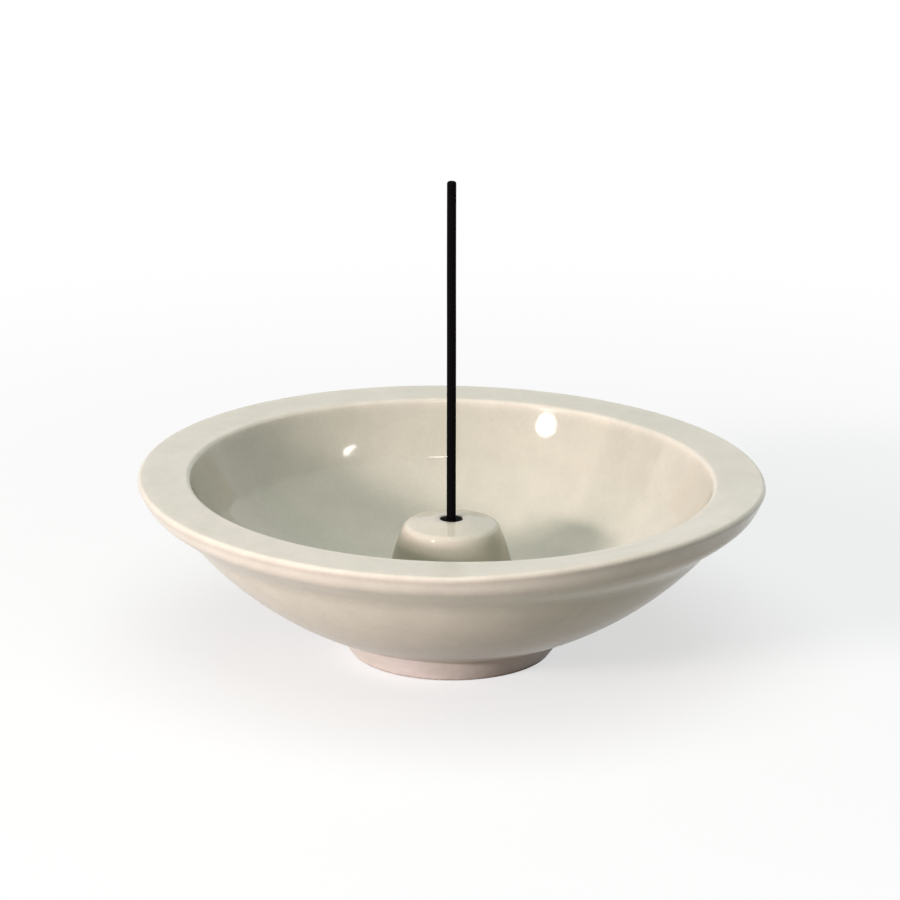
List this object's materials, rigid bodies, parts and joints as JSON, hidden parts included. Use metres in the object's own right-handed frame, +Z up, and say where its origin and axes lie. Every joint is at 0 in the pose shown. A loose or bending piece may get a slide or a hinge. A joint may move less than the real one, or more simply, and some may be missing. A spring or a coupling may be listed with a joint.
{
  "type": "incense stick holder",
  "caption": "Round glazed dish on a low foot ring, with a broad flat rim and a pierced central socket that holds an upright incense stick over the bowl that catches its ash.",
  "frame": {"origin": "centre of the foot ring's standing face, on the table", "axes": "+Z up along the stick, about which the whole holder is turned; +Y points away from the viewer of the picture, +X to the right"},
  "size_m": [0.135, 0.135, 0.1043],
  "materials": {
    "glaze": "glossy off-white stoneware glaze",
    "foot_clay": "thin satin glaze, wiped bare where it stands",
    "incense": "matt black pressed incense"
  },
  "bodies": {
    "holder": {"dish": "glaze", "foot_ring": "foot_clay", "stick_socket": "glaze"},
    "stick": {"incense_stick": "incense"}
  },
  "joints": [
    {"name": "stick_lift", "type": "slide", "parent": "holder", "child": "stick", "axis": [0, 0, 1], "range_m": [0, 0.03]}
  ]
}
